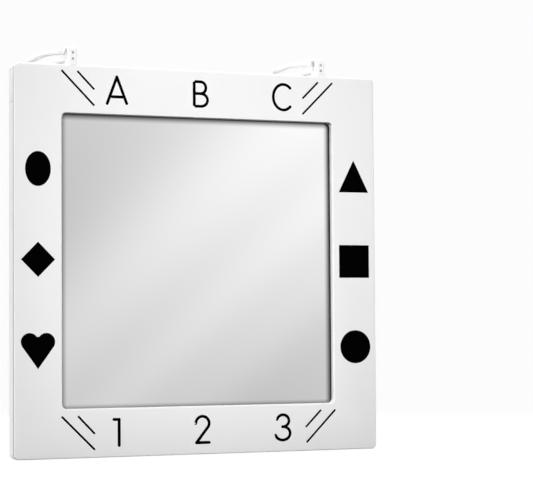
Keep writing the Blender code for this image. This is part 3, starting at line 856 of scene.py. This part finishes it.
def make_upper_run(side, place, look):
    """The run back from the far end, with the leaf that leaves the press stud."""
    first = STUD.y + LEAF_RADIUS + 0.1 * MM
    points = []
    for step in range(UPPER_POINTS):
        share = step / UPPER_POINTS
        ease = share * share * (3 - 2 * share)
        height = STUD.z + (UPPER_TURN + TURN_RADIUS - STUD.z) * ease
        bulge = UPPER_BULGE * math.sin(math.pi * share) ** 2
        points.append((0.0, first + (RUN_LENGTH - first) * share, height + bulge))
    points += turn_arc(90.0, 0.0, UPPER_TURN) + [(0.0, RUN_LENGTH + TURN_RADIUS, SPLIT - PAST_SPLIT)]
    shares = [UPPER_START + UPPER_GROWTH * min(index / 3, 1.0) for index in range(len(points))]
    run = tube(points, STRAP_RADIUS, 32, shares)
    middle = -LEAF_OFFSET * STUD_FACING
    bridge = cube((middle - BRIDGE_HALF, STUD.y, STUD.z - BRIDGE_RISE),
                  (middle + BRIDGE_HALF, STUD.y + BRIDGE_REACH, STUD.z + BRIDGE_RISE))
    finish_run(f"{side}_strap_upper", [run, bevel_edges(bridge, STRAP_ROUND), leaf(middle)],
               False, CAP_BORE, place, look, f"{side}_strap_end")


def make_stud(side, place, look):
    """The stud through the fixed leaf and the cap that it snaps into."""
    seat = (LEAF_THICKNESS + SEAT_GAP) * STUD_FACING
    for node, profile, way, body in (
            (f"{side}_stud", STUD_PROFILE, 1, f"{side}_strap"),
            (f"{side}_stud_cap", CAP_PROFILE, -1, f"{side}_strap_end")):
        made = turned(profile, STUD + Vector((way * seat, 0.0, 0.0)), (way * STUD_FACING, 0.0, 0.0))
        made.name = f"{node}_finish"
        smooth(made, TURNED_SHADING)
        made.data.transform(place)
        own(made, look, body)
        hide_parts(node)


def round_above(piece, level, width):
    """Round every edge of a block that reaches above a level."""
    only(piece)
    bpy.ops.object.mode_set(mode="EDIT")
    bpy.ops.mesh.select_all(action="DESELECT")
    shape = bmesh.from_edit_mesh(piece.data)
    for edge in shape.edges:
        edge.select_set(max(vert.co.z for vert in edge.verts) > level)
    bmesh.update_edit_mesh(piece.data)
    bpy.ops.mesh.bevel(offset=width, segments=4, profile=0.5, affect="EDGES")
    bpy.ops.object.mode_set(mode="OBJECT")
    return piece


def make_post(side, looks):
    """A flat upright root with a low neck behind it, moulded in one piece, and its two rivets."""
    low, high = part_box(f"{side}_strap_post")
    middle, top = (low.x + high.x) / 2, PANEL_HIGH.z
    blade = cube((low.x, low.y, top), (high.x, low.y + POST_LENGTH, high.z))
    neck = cube((middle - NECK_HALF, low.y + POST_LENGTH / 2, top),
                (middle + NECK_HALF, high.y, top + NECK_HEIGHT))
    round_above(blade, top + SHARP_FOOT, POST_ROUND)
    round_above(neck, top + SHARP_FOOT, NECK_ROUND)
    body = join(f"{side}_strap_post_finish", [blade, neck])
    remesh(body, rounds=3)
    smooth(body, MOULDED_SHADING)
    own(body, looks["plastic"])
    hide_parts(f"{side}_strap_post")
    for level in ("lower", "upper"):
        node = f"{side}_post_rivet_{level}"
        foot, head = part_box(node)
        centre = Vector(((foot.x + head.x) / 2, low.y, (foot.z + head.z) / 2))
        rivet = turned(RIVET_PROFILE, centre, (0.0, -1.0, 0.0), 32)
        rivet.name = f"{node}_finish"
        own(smooth(rivet, TURNED_SHADING), looks["steel"])
        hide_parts(node)


# The studio

WHITE = (1.0, 1.0, 1.0, 1.0)
BACKGROUND = 0.975
FLOOR_RADIUS = 0.85
FLOOR_GAP = 0.2 * MM
FLOOR_GLOW = 0.905
FLOOR_IN_LIGHT = (0.10, 0.10, 0.10, 1.0)
FLOOR_FOR_BOUNCES = (0.25, 0.25, 0.25, 1.0)

# The direction that the mirror shows to the camera, and how the light in it slants
SHOWN_X, SHOWN_Z = 0.3413, 0.0372
SLANT = math.radians(44.8)
SLANT_SCALE = 10

# Slanting strips of light, each as its place across the slant, its width and its strength
STRIPS = ((-0.167, 0.337, 0.24), (0.254, 0.157, 0.16), (0.518, 0.165, 0.115))

# Grades of light, each as its first and last place and the light at each
ALONG_STRIPS = (-1.6, 1.6, 0.43, 0.85)
LOW_GLOW = (-2.0, -5.0, 0.0, 0.38)
FROM_ABOVE = (-0.3, 0.9, 0.04, 0.32)

# Area lamps, each as its name, place, target, size in metres and power in watts
LAMPS = (
    ("strip", (0.02, -0.45, 0.22), (0.02, 0.0, 0.22), (0.1, 0.4), 1.52),
    ("left", (-1.8, -0.15, 0.8), (0.0, 0.0, 0.25), (1.0, 1.2), 21.0),
    ("right", (1.3, -1.3, 0.9), (0.0, 0.0, 0.25), (1.0, 1.0), 3.0),
    ("top", (-0.2, 0.15, 1.5), (0.0, 0.03, 0.3), (0.8, 0.8), 18.0),
    ("rear", (0.4, 1.6, 1.2), (0.0, 0.0, 0.2), (1.4, 1.0), 22.0),
)


def mixed(tree, factor, first, second):
    """The first shader where the factor is 0 and the second where it is 1."""
    mix = tree.nodes.new("ShaderNodeMixShader")
    for socket, source in zip(mix.inputs, (factor, first, second)):
        tree.links.new(source, socket)
    return mix.outputs[0]


def make_floor():
    """A round white floor that fades into the white background and is darker in the shadow."""
    bpy.ops.mesh.primitive_circle_add(vertices=96, radius=FLOOR_RADIUS, fill_type="NGON",
                                      location=(0.0, 0.0, PANEL_LOW.z - FLOOR_GAP))
    floor = apply_place(bpy.context.object)
    floor.name = "floor"
    look = bpy.data.materials.new("floor_white")
    look.use_nodes = True
    tree = look.node_tree
    link = tree.links.new
    tree.nodes.clear()
    leave = tree.nodes.new("ShaderNodeOutputMaterial")
    paths = tree.nodes.new("ShaderNodeLightPath")
    seen = maths(tree, "MAXIMUM", paths.outputs["Is Camera Ray"], paths.outputs["Is Glossy Ray"])
    place = tree.nodes.new("ShaderNodeTexCoord")
    apart = add_node(tree, "ShaderNodeVectorMath", operation="LENGTH")
    link(place.outputs["Object"], apart.inputs[0])
    fade = soft_step(tree, apart.outputs["Value"], 0.5 * FLOOR_RADIUS, 0.98 * FLOOR_RADIUS)
    near = add_node(tree, "ShaderNodeEmission", {"Color": WHITE, "Strength": FLOOR_GLOW})
    far = add_node(tree, "ShaderNodeEmission", {"Color": WHITE, "Strength": BACKGROUND})
    lit = add_node(tree, "ShaderNodeBsdfDiffuse", {"Color": FLOOR_IN_LIGHT})
    plain = add_node(tree, "ShaderNodeBsdfDiffuse", {"Color": FLOOR_FOR_BOUNCES})
    both = tree.nodes.new("ShaderNodeAddShader")
    link(near.outputs[0], both.inputs[0])
    link(lit.outputs[0], both.inputs[1])
    faded = mixed(tree, fade, both.outputs[0], far.outputs[0])
    link(mixed(tree, seen, plain.outputs[0], faded), leave.inputs["Surface"])
    floor.data.materials.append(look)


def weighted(tree, vector, weights, offset):
    """One number from a direction: the sum of its weighted parts, plus an offset."""
    dot = add_node(tree, "ShaderNodeVectorMath", {1: weights}, operation="DOT_PRODUCT")
    tree.links.new(vector, dot.inputs[0])
    return maths(tree, "ADD", dot.outputs["Value"], offset)


def soft_band(tree, coordinate, centre, width, strength):
    """The light of one long soft strip lamp that crosses the direction at a given place."""
    scaled = maths(tree, "DIVIDE", maths(tree, "SUBTRACT", coordinate, centre), width)
    square = product(tree, scaled, scaled)
    fall = maths(tree, "EXPONENT", maths(tree, "MULTIPLY", square, -1.0))
    return maths(tree, "MULTIPLY", fall, strength)


def make_world():
    """White for the camera, slanting soft strips for reflections and a graded grey for the light."""
    world = bpy.data.worlds.new("studio")
    scene.world = world
    world.use_nodes = True
    tree = world.node_tree
    link = tree.links.new
    tree.nodes.clear()
    leave = tree.nodes.new("ShaderNodeOutputWorld")
    paths = tree.nodes.new("ShaderNodeLightPath")
    place = tree.nodes.new("ShaderNodeTexCoord")
    direction = place.outputs["Generated"]

    along_x, along_z = SLANT_SCALE * math.cos(SLANT), SLANT_SCALE * math.sin(SLANT)
    slant = weighted(tree, direction, (along_x, 0.0, -along_z), along_z * SHOWN_Z - along_x * SHOWN_X)
    climb = weighted(tree, direction, (along_z, 0.0, along_x), -along_z * SHOWN_X - along_x * SHOWN_Z)
    total = soft_step(tree, climb, *ALONG_STRIPS)
    for part in [soft_step(tree, climb, *LOW_GLOW), *[soft_band(tree, slant, *strip) for strip in STRIPS]]:
        total = maths(tree, "ADD", total, part)
    reflected = add_node(tree, "ShaderNodeBackground", {"Strength": 1.0})
    link(total, reflected.inputs["Color"])

    white = add_node(tree, "ShaderNodeBackground", {"Color": WHITE, "Strength": BACKGROUND})
    apart = tree.nodes.new("ShaderNodeSeparateXYZ")
    link(direction, apart.inputs[0])
    ambient = add_node(tree, "ShaderNodeBackground", {"Strength": 1.0})
    link(soft_step(tree, apart.outputs["Z"], *FROM_ABOVE), ambient.inputs["Color"])
    lit = mixed(tree, paths.outputs["Is Glossy Ray"], ambient.outputs[0], reflected.outputs[0])
    shown = mixed(tree, paths.outputs["Is Camera Ray"], lit, white.outputs[0])
    link(shown, leave.inputs["Surface"])


def make_light(name, place, target, size, power):
    """A flat lamp at a place, turned towards its target."""
    data = bpy.data.lights.new(name, "AREA")
    data.shape = "RECTANGLE"
    data.size, data.size_y = size
    data.energy = power
    light = bpy.data.objects.new(name, data)
    scene.collection.objects.link(light)
    light.location = place
    light.rotation_euler = (Vector(target) - Vector(place)).to_track_quat("-Z", "Y").to_euler()
    return light


scene.view_settings.view_transform = "Standard"
make_camera()
LOOKS = make_looks()

for name in ("front_fascia", "top_rail", "bottom_rail", "left_stile", "right_stile"):
    dress(name, LOOKS["lacquer"])
dress("rear_board", LOOKS["board"])
dress("mirror_sheet", LOOKS["mirror"])
front_print(LOOKS)
back_print(LOOKS)
for strap in STRAPS:
    side, place = strap["side"], swing_frame(strap)
    make_post(side, LOOKS)
    make_lower_run(side, place, LOOKS["silicone"])
    make_upper_run(side, place, LOOKS["silicone"])
    make_stud(side, place, LOOKS["plastic"])

# The pieces inside keep their solids and only take a material
for name, node in frame["nodes"].items():
    for word, look in (("dowel", "beech"), ("foam", "foam"), ("pin", "steel")):
        if word in name:
            node.data.materials.clear()
            node.data.materials.append(LOOKS[look])

make_floor()
make_world()
for name, *settings in LAMPS:
    light = make_light(name, *settings)
    if name == "strip":
        light.visible_camera = False
        light.visible_glossy = False
